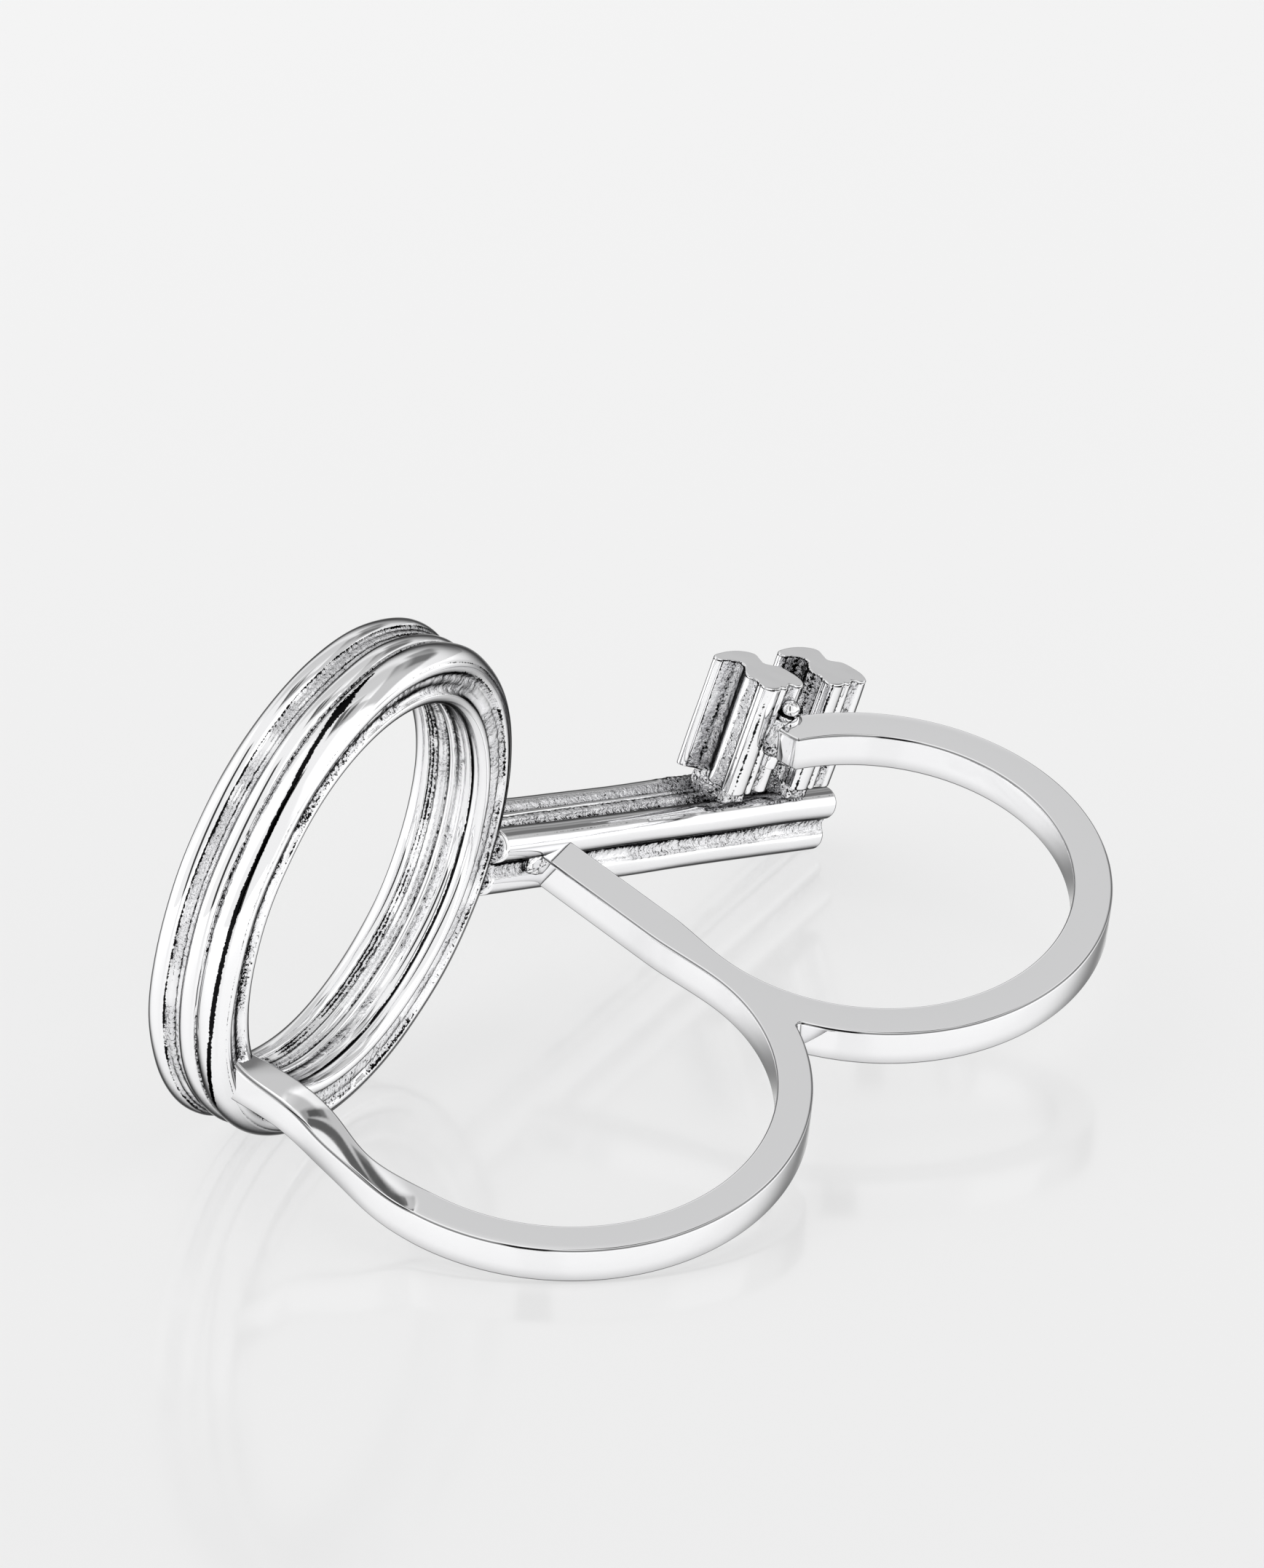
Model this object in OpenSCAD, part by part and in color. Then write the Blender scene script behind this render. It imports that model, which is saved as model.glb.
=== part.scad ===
// Double ring in silver: a wire of rectangular section makes two finger loops side by side,
// and both ends of the wire and one strut carry a small ribbed key that lies over the fingers.
// All metal is soldered, so the whole ring is one solid.
// Sizes are in millimetres. The ring is drawn as worn (x across the hand, y up through the back
// of the hand, z along the fingers) and then turned into its resting place on a flat surface.

/* [Band] */
// Inside radius of the first loop, below the bow
loop1_r = 8.84; // [8.76:0.02:8.92]
// Wall of the first loop
loop1_wall = 1.48; // [1.4:0.02:1.56]
// Inside radius of the second loop, below the bit
loop2_r = 8.66; // [8.58:0.02:8.74]
// Wall of the second loop
loop2_wall = 1.66; // [1.58:0.02:1.74]
// Width of the band along the finger
band_w = 1.74; // [1.6:0.02:1.9]
// Bevel on the long edges of the band
band_bevel = 0.12; // [0.08:0.01:0.16]
// Distance between the two loop centres across the hand
loop_pitch = 18.7; // [18.66:0.02:18.76]
// Angle on the circle where the second loop stops under the bit
loop2_end = 67.5; // [66:0.5:69]
// Thickness of the strut between the fingers
strut_t = 1.64; // [1.56:0.02:1.72]

/* [Bow] */
// Radius of the bow over its largest palm side rib
bow_r = 10.84; // [10.78:0.02:10.9]
// Height of the bow along its own axis
bow_h = 3.8; // [3.74:0.02:3.86]
// Turn of the bow against the stem, about the finger direction
bow_turn = 13.64; // [13:0.02:14.2]

/* [Stem] */
// Length of the stem
stem_l = 22.4; // [22:0.1:22.8]
// Slope of the stem across the fingers
stem_slope = 24; // [23.5:0.1:24.5]
// Radius of the large rounded rib
rib_a_r = 0.74; // [0.7:0.01:0.76]
// Radius of the lower rounded rib
rib_b_r = 0.67; // [0.63:0.01:0.69]

/* [Bit] */
// Length of the two bit blocks out from the stem
block_l = 5.38; // [5.3:0.02:5.5]
// Distance between the two blocks along the stem
block_pitch = 4.25; // [4.2:0.01:4.3]
// Lean of the blocks towards the bow
block_lean = 4.1; // [3.8:0.1:4.4]
// Radius of the round solder post
post_r = 0.38; // [0.34:0.01:0.42]

/* [Hidden] */
// Second loop's centre is the origin of the worn frame
loop1_y = -0.6;
loop1_c = [-loop_pitch, loop1_y, 0];
loop1_start = 191.9;
// Palm side level of the key, above the loop centres
key_y = 9.45;
// Where the stem meets the bow, at the level of its large rib
stem_at = [-11.93, key_y, 2.5];
// Centre of the bow at its palm side face
bow_at = [-21.61, 7.67, 6.6];
// The strut's near face, tangent to the first loop
strut_x = -10.08;
// Height at which the second loop is cut flush
loop2_cut = 9.12;
block_z = 1.15;
block_k = 13.67;
// The outer block sits a little nearer the palm
block_drop = 0.22;
// Resting place: angles that lay the worn frame down, and the shift that puts its box at the origin
rest = [10.531, -8.117, 44.889];
shift = [9.379, 3.764, 5.936];

$fn = 96;

// Rectangle with bevelled corners, w wide in x and h high in y, centred
module bevelled(w, h, b) {
    polygon([[-w/2 + b, -h/2], [w/2 - b, -h/2], [w/2, -h/2 + b], [w/2, h/2 - b],
             [w/2 - b, h/2], [-w/2 + b, h/2], [-w/2, h/2 - b], [-w/2, -h/2 + b]]);
}

// Arc of the band round the z axis
module band_arc(r, wall, from, sweep) {
    rotate([0, 0, from]) rotate_extrude(angle = sweep)
        translate([r + wall/2, 0]) bevelled(wall, band_w, band_bevel);
}

// First loop, from a little inside its twisted end round to the strut
module loop_one() {
    translate(loop1_c) band_arc(loop1_r, loop1_wall, loop1_start - 0.2, 360.2 - loop1_start);
}

// Second loop, from the strut round to the flush end under the bit
module loop_two() {
    difference() {
        band_arc(loop2_r, loop2_wall, 180, 180 + loop2_end);
        translate([0, loop2_cut, -5]) cube([14, 6, 10]);
    }
}

// Straight strut between the fingers, with the small web where the loops part
module strut() {
    translate([strut_x + strut_t/2, loop1_y - 0.5, 0]) rotate([-90, 0, 0])
        linear_extrude(key_y - loop1_y + 1.4) bevelled(strut_t, band_w, band_bevel);
    translate([0, 0, -band_w/2 + band_bevel]) linear_extrude(band_w - 2*band_bevel)
        polygon([[-9.8, -1], [-8.8, -1], [-9.1, -4.75], [-9.36, -4.6], [-9.62, -4.9]]);
}

// Twisted end of the first loop: sections of the band carried along a Bezier curve and turned
// about it, so that the wire leaves the loop's plane and runs into the palm side of the bow. It is
// drawn narrower where it twists, thinner towards the end, and its outer top edge is worn rounder.
tw_r = loop1_r + loop1_wall/2;
tw_out = [cos(loop1_start), sin(loop1_start), 0];
tw_p0 = loop1_c + tw_r*tw_out;
tw_way = [tw_p0, tw_p0 + 1.9*[sin(loop1_start), -cos(loop1_start), 0], [-30.924, 1.475, 2.386],
          [-26.699, 3.275, 0.26], [-30.021, 5.047, 2.725], [-30.683, 6.034, 3.6]];
tw_turn = [0, 0, -25.62, -2.63, 22.77];
tw_n = 20;
tw_last = 1.06;
function unit(v) = v/norm(v);
function bezier(p, t) = len(p) == 1 ? p[0] :
    bezier([for (i = [0:len(p) - 2]) (1 - t)*p[i] + t*p[i + 1]], t);
function tw_dir(t) = unit(bezier([for (i = [0:len(tw_way) - 2]) tw_way[i + 1] - tw_way[i]], t));
function tw_u(t) = let (d = tw_dir(t), o = unit(tw_out - (tw_out*d)*d), a = bezier(tw_turn, t))
    cos(a)*o + sin(a)*cross(d, o);
function tw_corner(t, a, b) = let (d = tw_dir(t), u = tw_u(t)) bezier(tw_way, t) + a*u + b*cross(d, u);
function tw_section(t) = let (x = loop1_wall/2*(1 - 0.2535*exp(-pow((t - 0.316)/0.16, 2))),
                              y = band_w/2*(1 - 0.172*t*t), c = band_bevel + 0.1*t) [
    tw_corner(t, x, y - c), tw_corner(t, x - c, y), tw_corner(t, -x, y), tw_corner(t, -x, -y), tw_corner(t, x, -y)];
module twisted_end() {
    points = [for (i = [0:tw_n]) each tw_section(0.002 + tw_last*i/tw_n)];
    sides = [for (i = [0:tw_n - 1]) for (j = [0:4]) let (k = (j + 1)%5)
        each [[5*i + j, 5*i + 5 + j, 5*i + 5 + k], [5*i + j, 5*i + 5 + k, 5*i + k]]];
    polyhedron(points, concat([[0, 1, 2, 3, 4]], sides, [[for (c = [4:-1:0]) 5*tw_n + c]]));
}

// Ribbed ring of the bow. Its ribs are given as radius, height and rib radius. The ribs round the
// hole sit on a circle of their own, a little off the centre of the others.
bow_outer = [[bow_r - 0.86, -0.88, 0.86], [bow_r - 0.55, -1.9, 0.52], [bow_r - 0.32, -bow_h + 0.6, 0.5]];
bow_inner = [[8.86, -0.52, 0.42], [8.8, -2.3, 0.3], [8.9, -bow_h + 0.48, 0.43]];
ring_off = [-0.04, -0.08];
hole_off = [-0.2, 0];
module rib_ring(ribs, from, to, low, high) {
    rotate_extrude() {
        translate([from, low]) square([to - from, high - low]);
        for (r = ribs) translate([r[0], r[1]]) circle(r = r[2]);
    }
}
module bow() {
    translate(bow_at) rotate([0, 0, bow_turn]) rotate([90, 0, 0]) {
        translate(ring_off) rib_ring(bow_outer, 9.4, 10.5, -bow_h + 0.28, -0.5);
        translate(hole_off) rib_ring(bow_inner, 8.76, 9.75, -bow_h + 0.32, -0.4);
    }
}

// Ribbed bar of the stem, drawn with x along the bar, y towards the back, z outwards to the bit
module stem() {
    section = [[0.7, -2.2], [3.1, -2.3], [3.1, 0.1], [0.8, 0.2]];
    rotate([90, 0, 90]) {
        linear_extrude(stem_l) {
            polygon(section);
            translate([rib_a_r, -0.3]) circle(r = rib_a_r);
            translate([2.95, -0.02]) circle(r = 0.42);
            translate([2.85, -2.05]) circle(r = 0.44);
            translate([1.9, 0.02]) circle(r = 0.26);
        }
        // The lower rib ends a little further out
        linear_extrude(stem_l + 0.2) translate([rib_b_r + 0.04, -1.95]) circle(r = rib_b_r);
    }
    // Cut end bedded in the bow
    translate([-1.2, 0.95, -2]) cube([1.4, 1.95, 1.8]);
    translate([-0.45, 0.5, -2.1]) cube([0.6, 2.5, 2]);
}

// Section of one bit block, seen from its flat end: two rounded lobes with a waist between them
block_outline = [[0, 3.01], [0.66, 3.35], [1.39, 3.43], [2.08, 3.36], [2.66, 3.11], [2.76, 2.9],
                 [2.58, 2.49], [2.5, 2.18], [2.73, 1.98], [3.21, 1.72], [3.34, 1.16], [3.33, 0.66],
                 [3.05, 0.21], [1.58, 0.1], [0.69, 0.1], [0.41, 0.25], [0.45, 0.69], [0.41, 1.06],
                 [0.61, 1.62], [1.16, 2.14], [1.24, 2.39], [1.04, 2.7], [0.63, 2.9]];
module block() {
    intersection() {
        rotate([0, -block_lean, 0]) translate([0, 0, -1]) linear_extrude(block_l + 2) polygon(block_outline);
        translate([-2, -1, 0]) cube([8, 6, block_l]);
    }
}

// Two blocks on rough feet, with the solder post that ties the second loop to them
module bit() {
    for (i = [0, 1]) translate([block_k + i*block_pitch, -i*block_drop, block_z]) {
        block();
        translate([1.25, 0.7, -1.2]) cube([1.5, 2.2, 1.5]);
    }
    translate([15.75, 0.05, 2.6]) cylinder(r = post_r, h = 3.25);
    translate([15, -0.55, 3.3]) cube([1.6, 1, 1.7]);
}

module key_parts() {
    translate(stem_at) rotate([0, stem_slope, 0]) {
        stem();
        bit();
    }
    bow();
}

module double_ring() {
    color([0.86, 0.86, 0.87]) translate(shift) rotate(rest) {
        loop_one();
        loop_two();
        strut();
        twisted_end();
        key_parts();
    }
}

double_ring();
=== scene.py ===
import math

import bpy
import numpy as np
from bpy.props import FloatProperty, FloatVectorProperty, PointerProperty
from mathutils import Euler, Matrix, Vector
from mathutils.geometry import delaunay_2d_cdt


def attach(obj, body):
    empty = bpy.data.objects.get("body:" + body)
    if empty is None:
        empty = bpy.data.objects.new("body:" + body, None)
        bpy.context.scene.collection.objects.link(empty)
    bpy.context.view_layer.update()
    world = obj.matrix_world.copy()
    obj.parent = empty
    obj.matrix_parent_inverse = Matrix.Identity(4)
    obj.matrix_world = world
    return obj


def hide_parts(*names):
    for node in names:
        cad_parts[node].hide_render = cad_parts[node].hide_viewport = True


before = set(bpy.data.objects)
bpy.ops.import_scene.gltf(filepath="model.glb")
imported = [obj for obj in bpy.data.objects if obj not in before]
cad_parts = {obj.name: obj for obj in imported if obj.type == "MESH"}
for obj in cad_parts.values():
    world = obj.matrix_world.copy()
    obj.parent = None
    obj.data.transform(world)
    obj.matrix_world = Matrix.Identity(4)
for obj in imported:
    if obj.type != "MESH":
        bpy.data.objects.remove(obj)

bl_info = {
    "name": "Double ring with a key",
    "version": (1, 0, 0),
    "blender": (4, 5, 0),
    "location": "View3D > Sidebar > Double ring",
    "description": "Builds the silver double ring's visible pieces over its packed frame",
    "category": "Object",
}

NODE = "double_ring"
# Millimetres in a metre, and the names of the silver's two finishes
MM = 1000.0
MIRROR, CAST = "sterling_silver_mirror_polished", "sterling_silver_cast_ribs"
# Sockets of a colour mix and of a number mix: the two inputs to mix, and the mixed colour
COLOUR_A, COLOUR_B, MIXED = 6, 7, 2
NUMBER_A, NUMBER_B = 2, 3

# Place of the worn ring on the surface: turned by these angles, then shifted, in millimetres
REST = np.array(Euler([math.radians(a) for a in (10.531, -8.117, 44.889)], "XYZ").to_matrix())
SHIFT = np.array([9.379, 3.764, 5.936])

# Camera found from the finger loops' edges: its turn and place against the worn ring, its focal
# length in pixels, the pixels of the photograph's longer side, and the sensor's width in millimetres
CAM_TURN = np.array([[0.7164, -0.6953, 0.0568], [-0.4235, -0.4981, -0.7566], [0.5544, 0.518, -0.6514]])
CAM_PLACE = np.array([10.037, 4.225, 288.33])
FOCAL_PX = 9330.0
LONG_PX = 2154
SENSOR = 36.0


def linear(hex_colour):
    """sRGB hex value as a linear colour with full alpha."""
    c = np.array([int(hex_colour[i:i + 2], 16) for i in (1, 3, 5)]) / 255.0
    low = c / 12.92
    high = ((c + 0.055) / 1.055) ** 2.4
    return tuple(np.where(c <= 0.04045, low, high)) + (1.0,)


def rest_place(points):
    """Worn ring's millimetres to the resting row frame's metres: turn, shift, then a thousandth."""
    return (np.asarray(points, float) @ REST.T + SHIFT) / MM


def unit(v):
    """Each vector divided by its own length."""
    return v / np.linalg.norm(v, axis=-1, keepdims=True)


def smooth(x):
    """Cubic step from 0 to 1: 3x squared less 2x cubed, held outside."""
    x = np.clip(x, 0.0, 1.0)
    return x * x * (3.0 - 2.0 * x)


def lattice(i, j, k, seed):
    """A repeatable number from 0 to 1 for each corner of an integer lattice, from mixed products."""
    n = (i * 374761393 + j * 668265263 + k * 2147483647 + seed * 144269504) & 0xFFFFFFFF
    n = ((n ^ (n >> 13)) * 1274126177) & 0xFFFFFFFF
    return ((n ^ (n >> 16)) & 0xFFFF) / 65535.0


def grain(points, size, seed):
    """Value noise from -1 to 1: lattice numbers at each cell's eight corners, blended by cubic steps.
    size is the width of a cell in the points' own unit."""
    q = np.asarray(points, float) / size + 1000.0
    c = np.floor(q).astype(np.int64)
    f = smooth(q - c)
    total = np.zeros(q.shape[:-1])
    for a in (0, 1):
        for b in (0, 1):
            for d in (0, 1):
                w = ((f[..., 0] if a else 1 - f[..., 0]) * (f[..., 1] if b else 1 - f[..., 1])
                     * (f[..., 2] if d else 1 - f[..., 2]))
                total += w * lattice(c[..., 0] + a, c[..., 1] + b, c[..., 2] + d, seed)
    return 2.0 * total - 1.0


def closed_curve(table, count):
    """Smooth closed curve through a table's rows: a periodic cubic with slopes from each row's two
    neighbours, read at even steps of the rows' own chord length. Every column is carried along."""
    t = np.asarray(table, float)
    nxt = np.roll(t, -1, 0)
    step = np.linalg.norm((nxt - t)[:, :2], axis=1)
    knots = np.r_[0.0, np.cumsum(step)]
    before = np.roll(step, 1)
    slope = (nxt - np.roll(t, 1, 0)) / (step + before)[:, None]
    s = np.linspace(0.0, knots[-1], count, endpoint=False)
    i = np.clip(np.searchsorted(knots, s, side="right") - 1, 0, len(t) - 1)
    h = step[i][:, None]
    x = ((s - knots[i]) / step[i])[:, None]
    j = (i + 1) % len(t)
    out = ((2 * x**3 - 3 * x**2 + 1) * t[i] + (x**3 - 2 * x**2 + x) * h * slope[i]
           + (3 * x**2 - 2 * x**3) * t[j] + (x**3 - x**2) * h * slope[j])
    out[:, 2:] = np.clip(out[:, 2:], 0.0, 1.0)
    return out


def rib_line(table, step):
    """Closed section from a table. A rib's row holds its centre, radius, first and last angle,
    sandiness and darkness and adds an arc, a groove's row holds its place, sandiness and darkness and
    adds one point, and the straight ways between them are divided into parts no longer than the step."""
    rows = []
    for a, b, *rib, sand, dark in table:
        r, start, stop = rib or (0, 0, 0)
        n = max(3, int(math.ceil(abs(math.radians(stop - start)) * r / step)) + 1) if rib else 1
        t = np.radians(np.linspace(start, stop, n))
        rows.append(np.stack([a + r * np.cos(t), b + r * np.sin(t), 0 * t + sand, 0 * t + dark], -1))
    t = np.concatenate(rows)
    parts = np.ceil(np.linalg.norm((np.roll(t, -1, 0) - t)[:, :2], axis=1) / step).astype(int).clip(1)
    first = np.repeat(np.arange(len(t)), parts)
    k = (np.arange(len(first)) - np.repeat(np.cumsum(parts) - parts, parts)) / np.repeat(parts, parts)
    return t[first] * (1 - k[:, None]) + t[(first + 1) % len(t)] * k[:, None]


def grid_faces(rows, cols, wrap_rows=False, wrap_cols=True):
    """Four-cornered faces of a grid of rows by columns, with either way closed on itself."""
    r = np.arange(rows if wrap_rows else rows - 1)
    c = np.arange(cols if wrap_cols else cols - 1)
    r, c = np.meshgrid(r, c, indexing="ij")
    r2, c2 = (r + 1) % rows, (c + 1) % cols
    return np.stack([r * cols + c, r * cols + c2, r2 * cols + c2, r2 * cols + c], -1).reshape(-1, 4).tolist()


def tube_faces(rows, cols):
    """Faces of a tube of rows rings by cols points, with one many-cornered face over each end."""
    last = (rows - 1) * cols
    return grid_faces(rows, cols) + [list(range(cols))[::-1], list(range(last, last + cols))]


def make_piece(name, points, faces, metal, layers):
    """One mesh object from worn millimetres: placed at rest, normals turned outwards by the sign of
    the enclosed volume, point layers stored, then ridden on the root and set in place of the node."""
    mesh = bpy.data.meshes.new(name)
    mesh.from_pydata(rest_place(np.reshape(points, (-1, 3))).tolist(), [], faces)
    mesh.update()
    for key, values in layers.items():
        layer = mesh.attributes.new(key, "FLOAT", "POINT")
        layer.data.foreach_set("value", np.asarray(values, np.float32).ravel())
    count = len(mesh.polygons)
    mesh.polygons.foreach_set("use_smooth", np.ones(count, bool))
    mesh.validate()
    obj = bpy.data.objects.new(name, mesh)
    bpy.context.scene.collection.objects.link(obj)
    centres, normals, areas = np.empty(count * 3), np.empty(count * 3), np.empty(count)
    mesh.polygons.foreach_get("center", centres)
    mesh.polygons.foreach_get("normal", normals)
    mesh.polygons.foreach_get("area", areas)
    volume = float(np.sum(np.sum((centres * normals).reshape(-1, 3), 1) * areas))
    if volume < 0:
        mesh.flip_normals()
    mesh.materials.append(metal)
    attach(obj, "root")
    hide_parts(NODE)
    return obj


def weigh_normals(obj):
    """Lets the broad flat faces carry the shading, so that only the rounded edges turn the light."""
    m = obj.modifiers.new("weighed_normals", "WEIGHTED_NORMAL")
    m.mode = "FACE_AREA"
    m.keep_sharp = True


# Sizes and colours that a user would change

class BandSizes(bpy.types.PropertyGroup):
    """Sizes of the flat silver wire."""
    loop1_r: FloatProperty(name="First loop", description="Inside radius of the loop below the bow",
                           default=0.00884, unit="LENGTH")
    loop1_wall: FloatProperty(name="First wall", description="Wall of the first loop",
                              default=0.00148, unit="LENGTH")
    loop2_r: FloatProperty(name="Second loop", description="Inside radius of the loop below the bit",
                           default=0.00866, unit="LENGTH")
    loop2_wall: FloatProperty(name="Second wall", description="Wall of the second loop",
                              default=0.00166, unit="LENGTH")
    width: FloatProperty(name="Band width", description="Width of the band along the finger",
                         default=0.00174, unit="LENGTH")
    edge: FloatProperty(name="Edge rounding", description="Radius of the band's long edges",
                        default=0.00013, unit="LENGTH")


class KeySizes(bpy.types.PropertyGroup):
    """Sizes of the ribbed key."""
    stem_l: FloatProperty(name="Stem length", description="Length of the ribbed bar",
                          default=0.0224, unit="LENGTH")
    block_l: FloatProperty(name="Block length", description="Length of a bit block out from the stem",
                           default=0.00538, unit="LENGTH")
    block_pitch: FloatProperty(name="Block distance", description="Distance between the blocks",
                               default=0.00425, unit="LENGTH")
    sand: FloatProperty(name="Sand size", description="Width of one grain of the cast grooves",
                        default=0.00012, unit="LENGTH", precision=5)


class SilverLook(bpy.types.PropertyGroup):
    """Colour and polish of the silver."""
    polished: FloatVectorProperty(name="Polished silver", description="Colour of the polished metal",
                                  subtype="COLOR", size=4, min=0, max=1, default=linear("#FBFBFC"))
    groove: FloatVectorProperty(name="Groove silver", description="Colour down in the sandy grooves",
                                subtype="COLOR", size=4, min=0, max=1, default=linear("#E6E6E8"))
    deep: FloatVectorProperty(name="Groove black", description="Colour of the grooves' unpolished bottoms",
                              subtype="COLOR", size=4, min=0, max=1, default=linear("#161617"))
    # Painted shade: the dark colour mixed in at the silver's outline and along the band's edges
    rim: FloatVectorProperty(name="Rim shade", description="Colour that the silver takes at its outline",
                             subtype="COLOR", size=4, min=0, max=1, default=linear("#1E1E20"))
    gloss: FloatProperty(name="Polish", description="Roughness of the polished faces",
                         subtype="FACTOR", min=0, max=1, default=0.05)


class StageLook(bpy.types.PropertyGroup):
    """Floor and studio light."""
    floor: FloatVectorProperty(name="Floor", description="Colour of the pale floor",
                               subtype="COLOR", size=4, min=0, max=1, default=linear("#A0A0A0"))
    glow: FloatProperty(name="Floor glow", description="Light that the pale floor gives by itself",
                        min=0, default=0.525)
    light: FloatProperty(name="Room light", description="Strength of the soft room light",
                         min=0, default=0.9)


def sizes():
    """The four groups of properties on the scene."""
    s = bpy.context.scene
    return s.ring_band, s.ring_key, s.ring_silver, s.ring_stage


# Materials

def add_node(tree, kind, settings=None, links=None):
    """Adds one node: settings are its attributes or, by number or name, its sockets' values, and
    links are (its input, other node, other output)."""
    node = tree.nodes.new(kind)
    for key, value in (settings or {}).items():
        if isinstance(key, int) or key in node.inputs.keys():
            node.inputs[key].default_value = value
        else:
            setattr(node, key, value)
    for target, source, output in links or ():
        tree.links.new(source.outputs[output], node.inputs[target])
    return node


def start_material(name):
    """An empty node material and its tree."""
    m = bpy.data.materials.new(name)
    m.use_nodes = True
    m.node_tree.nodes.clear()
    return m, m.node_tree


def rim_shade(tree, colour, rim, start, stop):
    """Painted reflection of the dark far room, which silver seen at a slant mirrors: the colour goes over to
    the rim's between two steps of facing, 1 less the cosine, which paints the thin dark contours of polished
    silver as shade in the colour. Broad flat faces, marked by their own attribute, keep their tone."""
    slant = add_node(tree, "ShaderNodeLayerWeight", {"Blend": 0.5})
    flat = add_node(tree, "ShaderNodeAttribute", {"attribute_name": "flat"})
    turned = add_node(tree, "ShaderNodeMath", {"operation": "MULTIPLY_ADD", 1: -0.4},
                      [(0, flat, "Fac"), (2, slant, "Facing")])
    weight = add_node(tree, "ShaderNodeMapRange", {"interpolation_type": "SMOOTHSTEP", "From Min": start,
                                                   "From Max": stop}, [("Value", turned, "Value")])
    return add_node(tree, "ShaderNodeMix", {"data_type": "RGBA", COLOUR_B: tuple(rim)},
                    [(0, weight, "Result"), (COLOUR_A, colour, MIXED)])


def finish_silver(tree, colour, rough, bump, tint):
    """The metal's own shader: colour, roughness and relief from their nodes, and a grey tint at its
    edge, the same in all three colours, that darkens the mirror where it is seen at a slant."""
    shader = add_node(tree, "ShaderNodeBsdfPrincipled",
                      {"Metallic": 1.0, "Specular Tint": (tint, tint, tint, 1.0)},
                      [("Base Color", colour, MIXED), ("Roughness", rough, "Result"),
                       ("Normal", bump, "Normal")])
    add_node(tree, "ShaderNodeOutputMaterial", None, [("Surface", shader, "BSDF")])


def silver_band():
    """Sterling silver wire, drawn flat, filed and mirror polished by hand. The eye sees near white mirrors
    with faint waves from the polishing wheel, about 2.5 mm long and a few microns deep.
    The thin dark lines where the rounded edges turn the light away are painted shade, mixed into the colour
    along the edges, as is the dark outline where the wire is seen at a slant."""
    _, _, look, _ = sizes()
    m, t = start_material(MIRROR)
    place = add_node(t, "ShaderNodeTexCoord")
    waves = add_node(t, "ShaderNodeTexNoise", {"Scale": 400.0, "Detail": 1.0, "Roughness": 0.4},
                     [("Vector", place, "Object")])
    bump = add_node(t, "ShaderNodeBump", {"Strength": 0.22, "Distance": 0.00003}, [("Height", waves, "Fac")])
    fine = add_node(t, "ShaderNodeTexNoise", {"Scale": 2600.0, "Detail": 2.0}, [("Vector", place, "Object")])
    rough = add_node(t, "ShaderNodeMapRange", {"From Min": 0.3, "From Max": 0.75, "To Min": look.gloss * 0.7,
                                               "To Max": look.gloss * 1.8}, [("Value", fine, "Fac")])
    # Painted shade: dark lines along the band's rounded edges, read from the edge layer and mixed into the
    # colour
    edge = add_node(t, "ShaderNodeAttribute", {"attribute_name": "edge"})
    line = add_node(t, "ShaderNodeMapRange", {"interpolation_type": "SMOOTHSTEP", "From Min": 0.35,
                                              "From Max": 0.95, "To Max": 0.8}, [("Value", edge, "Fac")])
    edge_shaded = add_node(t, "ShaderNodeMix", {"data_type": "RGBA", COLOUR_A: tuple(look.polished),
                                          COLOUR_B: tuple(look.rim)}, [(0, line, "Result")])
    finish_silver(t, rim_shade(t, edge_shaded, look.rim, 0.5, 0.93), rough, bump, 0.6)
    return m


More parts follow.
